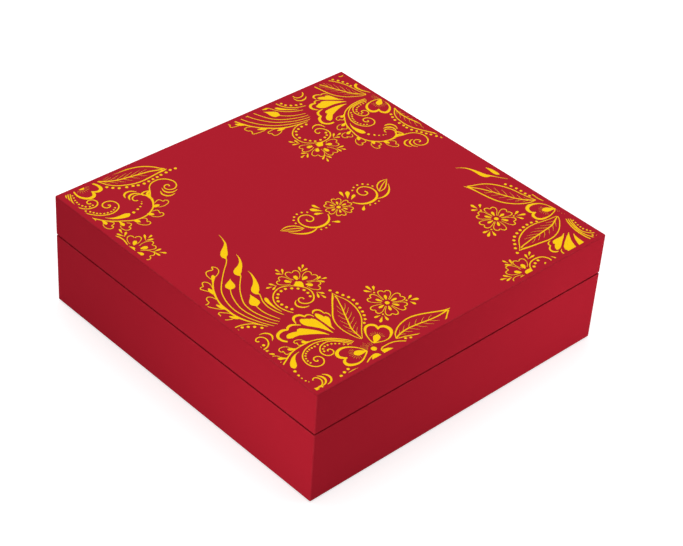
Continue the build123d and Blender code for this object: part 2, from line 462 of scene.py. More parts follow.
class SWEETBOX_OT_corner_tape(Operator):
    """Finish the brown gummed tape that stays the corners"""
    bl_idname = "sweetbox.corner_tape"
    bl_label = "Corner tape"

    def execute(self, context):
        material, *_ = finish("Brown gummed tape", context.scene.sweetbox_papers.tape, roughness=0.55,
                              gloss=0.35, mottle=0.07, fibres=420.0, tooth=0.02)
        dress(["base_corner_stays", "lid_corner_stays"], material)
        return {"FINISHED"}


class SWEETBOX_OT_linings(Operator):
    """Finish the lid's lining, the greaseproof sheet and the sole sheet"""
    bl_idname = "sweetbox.linings"
    bl_label = "Linings and sole"

    def execute(self, context):
        papers = context.scene.sweetbox_papers
        lining, *_ = finish("Cream lining paper", papers.lining, roughness=0.7, gloss=0.3, mottle=0.018,
                            tooth=0.015)
        waxed, *_ = finish("Waxed greaseproof", papers.greaseproof, roughness=0.32, gloss=0.5, fibres=300.0,
                           sheen=0.12)
        sole, *_ = finish("Dark red sole paper", papers.sole, roughness=0.8, gloss=0.2, mottle=0.05,
                          tooth=0.03)
        dress(["lid_liner"], lining)
        dress(["floor_liner"], waxed)
        dress(["sole_sheet"], sole)
        return {"FINISHED"}


class SWEETBOX_OT_dividers(Operator):
    """Finish the gold card of the divider grid, with its pale cut edges"""
    bl_idname = "sweetbox.dividers"
    bl_label = "Divider grid"

    def execute(self, context):
        dividers = [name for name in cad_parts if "divider" in name]
        for name in dividers:
            low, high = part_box(name)
            across = (0.0, 1.0, 0.0) if high.x - low.x > high.y - low.y else (1.0, 0.0, 0.0)
            material, tree, shader, grain = finish(
                f"Gold card, {name.replace('_', ' ')}", context.scene.sweetbox_papers.card, roughness=0.3,
                gloss=0.5, mottle=0.02, fibres=500.0, sheen=0.06, tooth=0.01)
            cut = use_group(tree, "Cut edge", {"Face Axis": across}).outputs["Cut"]
            tree.links.new(blend(tree, cut, grain.outputs["Colour"], CUT_CARD), shader.inputs["Base Color"])
            metal = sums(tree, "MULTIPLY_ADD", cut, -CARD_METAL, CARD_METAL)
            tree.links.new(metal, shader.inputs["Metallic"])
            dress([name], material)
        return {"FINISHED"}


# The gold print: each motif gives pen strokes and pearls, in millimetres from the rosette's middle dot

def filled(path):
    """The (x, y, half width or radius) points, with the last size at every point that gives none."""
    points = []
    for point in path:
        points.append(point if len(point) == 3 else (*point, points[-1][2]))
    return points


def lines(*paths):
    """Pen strokes, each with its half widths filled in."""
    return [filled(path) for path in paths]


def placed(x, y, turn, ahead, aside=0):
    """The point that lies that far ahead and to the left of a point, for one who faces the turn."""
    across, up = cos(radians(turn)), sin(radians(turn))
    return x + ahead * across - aside * up, y + ahead * up + aside * across


def drop(x, y, end_x, end_y, fat):
    """A teardrop from its point to its round end."""
    return [(x + (end_x - x) * share, y + (end_y - y) * share, fat * width)
            for share, width in ((0, .18), (.35, .6), (.68, 1.0), (.88, .85), (1, .3))]


def petal(x, y, turn, reach, half, pen=.42, start=.3):
    """Two strokes that meet in the notch of an open heart petal."""
    outline = ((start, .36, .6), (.6, .76, .62), (.88, 1.0, .75), (1.08, .86, 1.0), (1.12, .42, 1.0),
               (1.0, .04, .85))
    return [[(*placed(x, y, turn, reach * ahead, side * half * aside), pen * width)
             for ahead, aside, width in outline] for side in (1, -1)]


def seed(x, y, turn, near, far, fat):
    """A plump seed that lies between two distances from a point."""
    length = far - near
    return [(*placed(x, y, turn, distance), fat * width) for distance, width in (
        (near, .4), (near + length * .37, .82), (near + length * .74, 1), (far, .57))]


def sprig(x, y, tips, fat=.68):
    """Three drops that open from a point, the middle one set further out."""
    return [drop(x + (tip_x - x) * gap, y + (tip_y - y) * gap, tip_x, tip_y, fat)
            for gap, (tip_x, tip_y) in zip((0, .42, 0), tips)]


def hairs(x, y, near, far, first, last, count, pen):
    """Fine straight hairs that spread from a point."""
    turns = [first + (last - first) * number / (count - 1) for number in range(count)]
    return [[(*placed(x, y, turn, near), pen), (*placed(x, y, turn, far), pen * .6)] for turn in turns]


def along(path, share):
    """The place at a share of a path's points."""
    step = share * (len(path) - 1)
    before = min(int(step), len(path) - 2)
    (x, y, _), (next_x, next_y, _) = path[before:before + 2]
    return x + (next_x - x) * (step - before), y + (next_y - y) * (step - before)


def veins(rib, edge, count=6, pen=.16, first=.12, last=.62, lead=.1, stop=.56):
    """Fine veins that leave a leaf's rib and bend towards its tip, well short of its edge."""
    strokes = []
    for number in range(count):
        root = first + (last - first) * number / (count - 1)
        path = []
        for reach, across, width in ((0, 0, 1), (.5, .58, .85), (1, 1, .5)):
            (x, y), (edge_x, edge_y) = (along(line, min(root + lead * reach, 1)) for line in (rib, edge))
            path.append((x + (edge_x - x) * stop * across, y + (edge_y - y) * stop * across, pen * width))
        strokes.append(path)
    return strokes


def leaning_heart(root, x, y, turn, length, width):
    """An open heart that leans over the tendril, and the solid bud that roots it there."""
    outlines = lines(
        [(.6, -1.3, .25), (1.4, -1.95, .3), (2.7, -2.55, .32), (4.1, -2.75, .33), (5.5, -2.6, .34),
         (6.6, -2, .36), (7.1, -1, .38), (6.8, -.05, .37), (6.1, .35, .35), (5.4, -.1, .33)],
        [(5.4, -.1, .33), (5.25, .8, .35), (5.15, 1.9, .36), (4.5, 2.7), (3.2, 2.65, .32), (1.7, 2.1, .25)],
        [(-.4, .4, .8), (.3, .15, 1.12), (1, 0, 1.15), (1.8, -.3, .82), (2.3, -.6, .35)])
    strokes = [[(*placed(x, y, turn, ahead * length, aside * width), half_width)
                for ahead, aside, half_width in outline] for outline in outlines]
    strokes[2].insert(0, (*root, .45))
    return strokes


def half_flower(middle_x, middle_y, petals, seeds, sprigs):
    """The petals, seeds and sprigs round a half flower's middle."""
    strokes = []
    for turn, reach, half in petals:
        strokes += petal(middle_x, middle_y, turn, reach, half, pen=.38, start=.42)
    for x, y, turn, fat in seeds:
        strokes.append(seed(x, y, turn, -1.9, 1.6, fat))
    for root, tips in sprigs:
        strokes += sprig(*root, tips)
    return strokes


def middle_dot():
    """The dot in the rosette's middle, with the fine hairs round it."""
    strokes = hairs(0, 0, 2.6, 5.2, 62, 84, 3, .08) + hairs(0, 0, 2.8, 6.5, 100, 160, 7, .08)
    return strokes, [(0, 0, 1.5)]


def big_hearts():
    """Thick-rimmed hearts round the dot, each with a drop and fine stamens inside."""
    strokes = lines(
        [(3, 2.9, .5), (2.8, 4.8, .42), (3.3, 7.1), (4.3, 9.8, .48), (5.8, 12.1, .65), (7.5, 13.8, .8),
         (9.5, 14.4, .85), (11.3, 13.7, .9), (12.4, 12, .85), (12.1, 10.3, .7), (11.4, 9.2, .4)],
        [(11.5, 9.3, .4), (13.2, 10, .75), (15, 9.4, .95), (16.1, 7.5, 1.05), (16, 5.4), (15, 3.7, .9),
         (13.3, 2.3, .7), (11.4, 1.3, .5), (9.4, 1, .42), (7.1, 1.3, .38), (4.9, 2.2, .45), (3, 3.1, .5)],
        [(3.2, 3.1, .5), (4.9, 4, 1.3), (6.6, 5.1, 1.85), (7.9, 5.9, 1.6), (8.8, 6.5, .6)])
    strokes += hairs(6.8, 5.2, 2.5, 4.2, 112, -28, 9, .1)
    # the second heart
    strokes += lines(
        [(-3.8, .9, .5), (-4.4, 3.2, .42), (-5.5, 5.2), (-7.1, 7.1, .5), (-9, 8.6, .6), (-11, 9.5, .75),
         (-13.2, 9.6, .85), (-15.3, 8.9, .95), (-16.6, 7.5, 1.05), (-16.9, 5.7, 1), (-15.9, 4, .85),
         (-14.3, 3, .4)],
        [(-14.3, 3, .4), (-16.4, 2.4, .75), (-17.6, .9, .95), (-17.5, -.9, 1.05), (-15.8, -2.4, .9),
         (-13.2, -3.2, .7), (-10.9, -3.1, .58), (-8.6, -2.3, .5), (-6.3, -1, .45), (-4.4, .2, .5),
         (-3.7, .9)],
        [(-4, 1, .5), (-5.8, 1.6, 1.3), (-7.8, 2.3, 1.95), (-9.3, 2.6, 1.6), (-10.2, 2.7, .6)])
    strokes += hairs(-8, 2.4, 2.6, 4.6, 98, 252, 10, .1)
    # the third heart and its neighbour, below the dot
    strokes += lines(
        [(2.2, -6.4, .6), (2.2, -4.8), (2.3, -3, .5), (3.6, -1.9, .45), (5.6, -1.7, .42), (9.5, -1.9),
         (12.6, -3), (16, -5.5)],
        [(2.8, -3.4, .9), (3.8, -4.4, 1.5), (5.2, -5.3, 1.75), (6.9, -6.2, 1.2)],
        [(-10.4, -6.2, .35), (-8.8, -5.1, .4), (-7, -4.2, .42), (-4.8, -3.5, .45), (-2.8, -3.2, .48),
         (-1.3, -3.8, .5), (-.9, -5), (-1, -6.4)],
        [(-5.9, -5.3, .3), (-4.3, -4.6, .95), (-2.7, -4.5, 1.35), (-1.5, -5, 1.25), (-1.2, -6, .9)])
    return strokes, []


def leaves():
    """Three veined leaves, each an edge, a rib and an edge, with pearls along one side."""
    right_leaf = lines(
        [(13.7, -.9, .3), (15.4, 1.5, .42), (17.2, 2.9, .45), (20.6, 4.8), (24.5, 6, .47), (28.7, 6.4, .5),
         (32.5, 5.8, .52), (36.4, 4.5), (40, 2.9), (44, 1), (47, -.3, .6), (50.2, -.7, .2)],
        [(13.4, -1.1, .5), (16, -.2), (19.1, .5), (22.9, .8), (26.8, .5, .48), (30.6, 0, .45), (34.5, -.7),
         (38.3, -1.2), (42, -1.4), (45.5, -1.2, .5), (48, -.9, .6)],
        [(13.7, -1.3, .3), (15.5, -1.9, .38), (18.5, -2.9, .42), (22.1, -4.4), (26, -6.1, .45),
         (30.4, -7.2, .5), (34.9, -7.5), (39.3, -6.9, .48), (42.8, -5.3, .45), (46, -3), (48.6, -1.3, .5)])
    upper_leaf = lines(
        [(.4, 9, .3), (-.7, 11.3, .35), (-1.5, 14.8, .38), (-2, 18.6, .4), (-1.9, 21.7), (-1.3, 24.8, .42),
         (-.3, 27.3, .45), (1.4, 30.1, .48), (3.3, 32.3, .5), (5.2, 34.4), (7.4, 36.9, .52),
         (9.4, 39.1, .55), (11.3, 41, .6), (12.9, 42.9, .4), (13.5, 43.8, .15)],
        [(.7, 9, .4), (1, 11.3, .45), (1.4, 14.8, .48), (2.1, 17.9), (3.3, 20.5), (4.7, 23.2), (6, 25.9),
         (7.4, 28.6), (8.7, 30.9, .46), (10.1, 33.9, .44), (11.1, 36.2, .42), (12.2, 38.6), (12.9, 41, .5)],
        [(1.1, 9.1, .3), (2.9, 11.3, .35), (5.2, 14, .36), (7.9, 16.8, .38), (10.2, 19.2, .4),
         (12.2, 22.1, .42), (13.5, 24.8, .45), (14.5, 27.8), (15, 30.9), (15.2, 33.4, .42),
         (14.9, 36.2, .38), (14.2, 38.8, .35), (13.6, 41), (13.3, 43.2, .2)])
    left_leaf = lines(
        [(-13, -5.8, .35), (-15.8, -5.6, .42), (-18.7, -5.3), (-21.5, -5.7), (-24.2, -6.7, .45),
         (-26.9, -8.4, .48), (-29.7, -10.5, .5), (-31.5, -12.4), (-33.3, -15), (-34.9, -18.2),
         (-36.3, -21.4), (-37.6, -24.5, .52), (-38.8, -26.9, .7), (-40.1, -29.3, .3)],
        [(-13.2, -5.9, .5), (-15.6, -6.8, .52), (-17.4, -7.7), (-20.6, -9.8), (-23.3, -12.3), (-25.6, -15),
         (-28.3, -18.2), (-30.6, -20.9), (-32.9, -23.6), (-35.6, -25.9), (-38.4, -28.2, .6)],
        [(-13.3, -6.2, .35), (-15.3, -9.5, .4), (-17.4, -13.5, .42), (-19.9, -17.5), (-22.4, -21.1, .45),
         (-24.7, -23.6), (-27.4, -25.9, .48), (-30.6, -27.5, .5), (-33.8, -28.4), (-36.9, -28.6),
         (-39.2, -29.1)])
    strokes = []
    for edge, rib, other_edge in (right_leaf, upper_leaf, left_leaf):
        strokes += [edge, rib, other_edge] + veins(rib, edge) + veins(rib, other_edge)
    pearls = filled([
        (17.1, -3.8, .72), (19.5, -5, .74), (22, -6.6), (24.6, -8), (27.6, -9.1, .76),
        (30.6, -9.7),
        (9.7, 16.9, .7), (12, 18.7, .74), (13.7, 21.2, .78), (15, 23.8), (16.1, 26.8, .8),
        (17.1, 29.9), (17.7, 33.1), (17.4, 36.2), (16.4, 39.1), (15.5, 42.3, .78), (13.9, 45.7),
        (-19.6, -3.3, .78), (-22.5, -3.9, .8), (-25.4, -4.9), (-28.4, -7.1), (-30.8, -9.3),
        (-32.9, -10.8), (-35, -13.3), (-36.3, -16, .76), (-37.4, -18.5, .74), (-38.6, -21, .76),
        (-39.6, -23.5, .78), (-41.1, -26.4, .8), (-42.1, -29.2), (-43.9, -31.5)])
    return strokes, pearls


def six_petal_flower():
    """The open six-petal flower with its three sprigs."""
    x, y = 29.1, 21.3
    strokes = []
    for turn in (-2, 57, 115, 185, 243, 303):
        strokes += petal(x, y, turn, 8.5, 3.1)
        strokes.append(seed(x, y, turn, 2.5, 6, .88))
    strokes += [drop(*leaflet) for leaflet in (
        (29.9, 32.9, 30, 37.4, .85), (29, 32.2, 26.6, 35.4, .8), (30.5, 32.2, 33, 35.2, .8),
        (39.2, 17, 42.4, 18.4, .8), (39.8, 15.9, 43.5, 14, .95), (38.5, 15, 39.4, 11.8, .8),
        (19.9, 16.3, 16.2, 16.8, .75), (19.8, 15, 16, 12.4, .85), (21.1, 14.9, 20.1, 11.2, .8))]
    return strokes, [(x, y, 1.2), (29.6, 31, .5), (37.8, 16.8, .55), (21.3, 16.1, .5)]


def fan_shell():
    """Three solid wedges under scalloped rims."""
    return lines(
        [(-9.4, 20.9, .25), (-10.8, 23.3, .8), (-12.8, 25.8, 1.45), (-15.1, 28.1, 2), (-17.5, 30.1, 2.5),
         (-19, 31.3, 2.6), (-19.8, 32.2, 1.8)],
        [(-11.6, 25, .8), (-15.5, 28.2, 1.2), (-19.5, 30.3, 1.5), (-22.8, 31.3, 1.9), (-24.9, 31.4, 1.85),
         (-26, 31.2, 1.2), (-26.7, 31, .4)],
        [(-7, 20.7, .25), (-7.4, 24.2, .95), (-8.3, 28, 1.7), (-9.7, 31.4, 2.45), (-11.3, 34.3, 2.8),
         (-12.2, 36.2, 2.1), (-12.5, 37.9, .8)],
        [(-7.2, 24, .8), (-7.7, 28, 1.4), (-8.1, 31.4, 1.7), (-8.3, 33.6, 1.6), (-8.3, 35.2, .7)],
        [(-4.8, 22.2, .25), (-4.7, 25, .7), (-4.1, 28.4, 1.3), (-3.8, 31.6, 1.7), (-3.9, 34.4, 1.55),
         (-3.9, 35.9, 1.1), (-3.8, 36.7, .4)],
        [(-4.2, 25.4, .5), (-3.1, 28, 1), (-2.2, 30.2, 1.4), (-1.8, 31.5, 1.1), (-1.6, 32.4, .4)],
        [(-28.3, 29.2, .7), (-29.5, 30.9, .75), (-29.9, 32.9, .78), (-29.6, 34.5, .85), (-28.4, 35.9, .9),
         (-26.5, 36.7, .92), (-24.3, 36.8, .9), (-22.4, 35.8, .7)],
        [(-22.6, 35.7, .6), (-21.2, 37, .8), (-19.3, 37.4, .82), (-17.5, 36.7, .7), (-16, 35.4, .5),
         (-15, 34.5, .3)],
        [(-16.1, 36.8, .4), (-15.4, 39.2, .65), (-14, 40.9, .82), (-12.1, 41.2, .85), (-10.3, 40.2, .8),
         (-9.4, 38.1, .55)],
        [(-9.4, 38.1, .5), (-8.2, 38.6, .55), (-6.9, 38.1, .5), (-6.1, 36.8, .4), (-6, 35.4, .28)],
        [(-4.9, 37.5, .35), (-3.7, 38.6, .6), (-2.2, 38.8, .65), (-.7, 37.7, .58), (-.3, 36, .5),
         (-.4, 34.3, .4)],
        [(-.4, 34.4, .4), (.5, 34, .5), (1, 32.7, .45), (.6, 30.5, .25)]), []


def tendril():
    """The long tendril with its drop, spirals, open hearts and scroll."""
    strokes = lines(
        [(-3.8, 9.8, .34), (-4.3, 10.8, .4), (-5.9, 13.2, .46), (-8, 15.7, .48), (-10.3, 17.9, .5),
         (-13, 19.8, .52), (-15, 21, .5), (-17.9, 22.2, .45), (-20.9, 22.8), (-24, 22.9), (-27.1, 22.8),
         (-30.2, 22.5, .48), (-32.9, 21.7), (-35.5, 20.6), (-38.2, 19.2), (-40.6, 18), (-42.8, 16.4),
         (-44.7, 14.2), (-46.1, 11.7, .5), (-46.8, 9.2), (-47, 6.4), (-46.8, 3.9), (-46, 1.4, .55),
         (-44.7, -1.1, .65), (-43.2, -3.1, .8)],
        [(-29, 20.2, .15), (-31.5, 19.8, .45), (-33.8, 18.6, .9), (-35.7, 16.9, 1.35), (-37.2, 15, 1.7),
         (-38.1, 13.6, 1.5), (-38.5, 12.5, .6)])
    # its two spirals
    strokes += lines(
        [(-4.8, 9.4, .34), (-5.6, 10.9, .4), (-7.5, 13.5, .44), (-9.6, 15.8, .46), (-12.1, 18),
         (-15.3, 19.6, .44), (-18.2, 20.3, .42), (-20.9, 20.5, .43), (-23.6, 20.2, .45), (-26.3, 19.4),
         (-28.6, 18), (-30.5, 16.1), (-31.5, 13.9, .47), (-31.9, 11.7), (-31.5, 9.4), (-30.3, 7.6, .45),
         (-28.4, 6.6), (-26.3, 6.6), (-24.5, 7.8), (-23.5, 9.7), (-23.9, 11.7), (-25.4, 12.7), (-27, 12.3),
         (-27.6, 10.9), (-27, 9.8), (-26.2, 10.4, .55)],
        [(-5.8, 9.1, .32), (-6.6, 10.4, .38), (-8, 12.6, .42), (-9.6, 14.6, .44), (-11.4, 16.3),
         (-13.4, 17.4, .42), (-15.9, 17.6), (-18.2, 17.1, .43), (-20.1, 15.6, .45), (-21.3, 13.6, .47),
         (-21.3, 11.5), (-20.3, 9.8, .45), (-18.6, 9.1), (-17, 9.5), (-16, 10.7, .43), (-16, 12),
         (-16.7, 12.9), (-17.7, 12.8, .48), (-18.2, 12.1, .55)])
    # open hearts along its back
    for heart in (((-20.4, 22.9), -22, 24, 152, .72, .75), ((-28.6, 22.7), -30.3, 24, 164, .84, 1),
                  ((-36.3, 20.2), -38.3, 21.8, 165, .82, 1.06), ((-42.6, 16.6), -43.6, 17, 198, 1, 1),
                  ((-46.7, 10.2), -47.4, 9.4, 215, .95, 1), ((-46.8, 3.9), -47.4, 2.4, 250, 1.1, 1)):
        strokes += leaning_heart(*heart)
    # the scroll's head with its crescents, the wedge beside it, and the lower scroll
    strokes += lines(
        [(-43, -3.2, .85), (-41.2, -4, .7), (-39, -4.4, .5), (-37.2, -4.2, .48), (-35.8, -3.4, .45),
         (-34.9, -2.2), (-34.5, -.6), (-34.9, .9), (-36, 1.8), (-37.2, 1.6, .42), (-37.7, .9, .48)],
        [(-34.2, 2.2, .25), (-33, .7, .6), (-32.6, -1.2, .68), (-33.2, -2.9, .6), (-34.6, -4.1, .5),
         (-36.6, -4.7, .35)],
        [(-31.6, 1.6, .25), (-30.2, 0, .58), (-29.8, -1.9, .65), (-30.5, -3.7, .58), (-32, -4.9, .5),
         (-34.2, -5.4, .35)],
        [(-42.6, -3, .7), (-41.4, -5.2, .6), (-40.6, -7.4, .5), (-39.5, -9.4, .45), (-38.4, -11.8, .43),
         (-38, -14.4), (-38.7, -17.2, .45), (-40.4, -19.6, .48), (-42.6, -20.9, .5), (-45.1, -21.3),
         (-47.4, -20.8, .47), (-49.3, -19.3, .45), (-50.2, -17.2, .43), (-49.9, -15.1), (-48.6, -13.7),
         (-46.9, -13.3), (-45.3, -14.1), (-44.8, -15.6), (-45.4, -16.9, .45), (-46.5, -16.9, .48),
         (-47.1, -16.1, .5)],
        [(-41.2, -4.2, .5), (-39.9, -5.6, .8), (-39.6, -7.2, .7), (-39.7, -8.6, .4)],
        [(-39, -4.2, .5), (-37.5, -4.4, .6), (-37.4, -5.8), (-38.3, -7.5, .5), (-39.4, -8.6, .4)],
        [(-51.6, -15.2, .2), (-51, -13, .42), (-49.5, -11.5, .55), (-47.4, -11, .58), (-45.7, -11.7, .45),
         (-44.4, -13.1, .2)],
        [(-51.9, -11.8, .22), (-51.1, -9.6, .45), (-49.5, -8.3, .58), (-47.5, -8.2), (-46, -8.9, .5),
         (-44.7, -10.6, .25)])
    pearls = filled([
        (-39.9, 10.9, .8), (-40.6, 7.7, .68), (-40.9, 5.2, .52), (-40.5, 2.8, .46),
        (-39.9, 1.3, .3),
        (-30.2, 10.9, .5), (-30.3, 12.7), (-29.8, 14.5, .52), (-28.7, 16.1), (-27.4, 17.3),
        (-25.8, 18, .5), (-24.2, 18.5, .52), (-22.5, 18.6, .55), (-20.7, 18.6), (-18.5, 18.9),
        (-19.6, 13.2, .55), (-18.8, 14.8), (-17, 15.7), (-15.2, 15.6), (-13.2, 15.1, .52),
        (-11.7, 14.1), (-10.2, 12.9, .5), (-8.8, 11.3, .48), (-7.4, 9.9, .45)])
    return strokes, pearls


def right_scroll():
    """The pearled scroll on the right, with its half flower."""
    strokes = lines(
        [(-11.7, 43.8, .35), (-13.2, 47.1, .42), (-14, 50.9, .45), (-13.6, 54.8), (-12.1, 57.9),
         (-9.8, 60.4), (-7.1, 61.9), (-4, 62.5, .42), (-1.3, 61.9, .38), (1.7, 60.1, .35), (4.3, 57.5, .4),
         (6.1, 54.5, .42), (6.5, 51.7, .45), (5.7, 48.9, .47), (3.9, 46.3, .48), (1.6, 44.8), (-.8, 44.8),
         (-2.7, 45.9), (-3.7, 47.6, .46), (-3.3, 49.5, .44), (-1.9, 50.4, .43), (-.5, 49.9),
         (-.4, 48.6, .5)],
        [(-4.2, 50.2, .2), (-5.8, 49, .45), (-6.7, 46.9, .55), (-5.9, 44.8, .6), (-4.1, 43.4, .5),
         (-2, 43, .2)],
        [(5.5, 55.6, .3), (5.6, 57, 1.3), (5.5, 58.8, 2.25), (5.4, 60.2, 1.8), (5.3, 61.3, .5)],
        [(6, 59, 1.2), (4.4, 59.5), (3, 59.7, .6)])
    strokes += half_flower(
        5.5, 58.7, ((124, 9.7, 3.2), (71, 9.6, 3.5), (11, 10, 3.6), (-45, 9.2, 3.4)),
        ((2.4, 63.9, 120, 1.15), (7.6, 63.7, 68, 1.2), (10.9, 60.7, 12, 1.15), (9.2, 55.3, -50, 1.25)),
        (((-4.2, 64.7), ((-6, 68.2), (-9.4, 66.3), (-7.6, 63.4))),
         ((4.4, 69.6), ((2, 72.3), (4.1, 74.8), (7.1, 73.2))),
         ((12.8, 65.6), ((14.5, 69.3), (17.6, 69.4), (17.2, 65.8))),
         ((14.4, 55.9), ((17.9, 57), (19.6, 54.3), (16.5, 52.3))),
         ((8, 48.8), ((5.8, 44.8), (8.4, 42.6), (10.3, 45.6)))))
    return strokes, filled([
        (-10.3, 46.3, .76), (-11.3, 49.1, .78), (-11.8, 52), (-11.5, 55), (-10, 57.3),
        (-7.9, 59.1), (-5.1, 60.1), (-2.3, 60.1), (.4, 58.5, .8), (2.7, 56.5), (4.2, 53.8, .78),
        (4.2, 51, .74), (3.3, 48.3, .76)])


def left_scroll():
    """The pearled scroll on the left, with its half flower."""
    strokes = lines(
        [(-28.2, 44, .35), (-30.5, 47.4, .4), (-32.5, 49.7, .42), (-35.5, 51.4, .43), (-38.2, 52.3, .45),
         (-41, 52.5), (-43.4, 51.9, .43), (-45.6, 50.5, .42), (-47.8, 48.4, .4), (-49, 45.7, .38),
         (-49.2, 42.8), (-48.9, 39.9, .4), (-47.7, 36.5, .43), (-45.6, 34.1, .45), (-42.8, 32.3, .47),
         (-39.9, 31.8, .48), (-37.2, 32.8), (-35.4, 34.9), (-34.8, 37.3, .46), (-35.7, 39.4, .44),
         (-37.6, 40.1, .43), (-39.2, 39.4), (-39.6, 38.2, .45), (-38.6, 37.5, .5)],
        [(-35.3, 41.4, .2), (-33.1, 40.9, .45), (-31.5, 39.5, .55), (-31, 37.8, .6), (-31.8, 35.8, .5),
         (-33.4, 34.3, .2)],
        [(-48.2, 36.5, .3), (-49.2, 37.4, 1.2), (-50.5, 38.2, 1.95), (-51.5, 38.7, 1.6), (-52.5, 38.8, .5)],
        [(-50.2, 38, 1), (-50.2, 39.4, .9), (-50.2, 40.5, .4)])
    strokes += half_flower(
        -50.5, 38.4, ((116, 10.2, 3.2), (172, 10.1, 3.4), (222, 10.2, 3.4), (284, 9.2, 3.3)),
        ((-53, 44, 118, 1.15), (-55.9, 39.9, 172, 1.2), (-55.7, 34.9, 220, 1.25), (-50, 33.2, 280, 1.15)),
        (((-49.8, 49.3), ((-51.2, 53.3), (-48, 55), (-46.6, 51.9))),
         ((-58.8, 45.2), ((-59.4, 49), (-63.4, 49.2), (-63.2, 45.7))),
         ((-60.8, 36.1), ((-64.8, 37.7), (-66.8, 34.7), (-63.2, 32.7))),
         ((-53.9, 29.4), ((-56.9, 26.9), (-55, 24.4), (-51.6, 25.4))),
         ((-43.6, 30.5), ((-39.4, 29.9), (-39, 26), (-42.9, 26.7)))))
    return strokes, filled([
        (-30.9, 44.5, .78), (-33.1, 47.2, .8), (-35.5, 49.1), (-38, 50.5),
        (-41.2, 50.3, .76), (-44.1, 48.9), (-46, 45.9), (-47, 43.3, .72), (-47.3, 40.6, .7),
        (-46, 37.6, .74), (-43.5, 35.1), (-41.2, 33.9, .7), (-38.8, 34.2, .78)])


def drop_buds():
    """Drop and spade buds on long bowed stems."""
    return lines(
        [(.7, 113.9, .15), (.35, 111.6, .3), (-.4, 109.1, .42), (-1.3, 106.8, .65), (-2.9, 104.8, 1),
         (-5.1, 102.7, 1.55), (-7.3, 100.4, 1.95), (-8.7, 98.6, 1.6), (-9.1, 97.2, .8), (-9.3, 96.2, .4)],
        [(-9.2, 96.2, .38), (-11.3, 93.9), (-14.8, 91), (-17.9, 88.3), (-20.9, 85.5), (-24, 82.4, .4),
         (-26.7, 79.4, .42), (-28.7, 76.4), (-30.1, 73.3), (-31.2, 70.1), (-32, 66.3), (-32.3, 62.5),
         (-31.9, 58.6), (-31.1, 54.8, .4), (-29.8, 50.9, .38), (-28.5, 47.7, .36), (-27.1, 44.8, .34),
         (-25.5, 42, .25)],
        [(-2.9, 96.2, .15), (-3.4, 94.1, .4), (-4.4, 91.8, .6), (-5.9, 89.6, .9), (-8.1, 87.5, 1.4),
         (-10.7, 85.8, 2), (-12.2, 84.3), (-12.6, 82.8, 1.2), (-12.6, 81.4, .4)],
        [(-12.5, 81.4, .38), (-15.2, 78.7), (-17.9, 75.9), (-20.4, 72.8, .4), (-22.4, 69.8), (-24, 67, .42),
         (-25.4, 64), (-26.1, 60.5), (-26.1, 56.7), (-25.4, 52.9, .4), (-24.4, 49.4, .37), (-23, 45.9, .34),
         (-21.3, 42.9, .25)],
        [(-7.2, 82.3, .15), (-7.6, 79.5, .45), (-8.6, 76.5, .7), (-9.9, 74, 1.05), (-11.6, 71.5, 1.6),
         (-13.8, 69.2, 2.1), (-15, 67.6, 1.9), (-15.3, 66, 1.1), (-15, 64.8, .4)],
        [(-14.7, 65, .38), (-15.8, 62.7), (-17.1, 60.1, .4), (-17.9, 57.1, .42), (-18.1, 54),
         (-17.7, 50.9, .4), (-16.9, 47.8, .36), (-16.2, 45.4, .25)],
        [(-18.2, 82.8, .2), (-19.4, 81.4, 1), (-20.8, 79.7, 2.2), (-22, 78.3, 2.6), (-22.9, 77.2, 2),
         (-23.6, 76.4, .6)],
        [(-23.5, 76.4, .38), (-25.3, 73.6), (-27, 69.9, .4), (-28.3, 65.9), (-29, 62.4, .42), (-29, 58.6),
         (-28.4, 54.8, .4), (-27.5, 50.9, .38), (-26.1, 47.4, .36), (-24.6, 44.3, .33), (-23.1, 42, .25)],
        [(-18.7, 67.4, .2), (-19.2, 65.6, .9), (-20, 63.6, 2), (-20.9, 61.5, 2.75), (-21.5, 59.9, 2.2),
         (-21.9, 58.6, .6)],
        [(-22.1, 58.8, .38), (-22.5, 55.5, .4), (-22.3, 52.5), (-21.6, 49.4, .38), (-20.7, 46.7, .34),
         (-19.7, 44.2, .25)],
        [(-14.5, 60.9, .5), (-14.9, 60, 1.05), (-15.6, 57.4, .95), (-15.9, 54, .65), (-15.8, 50.9, .42),
         (-15.3, 48, .2)]), []


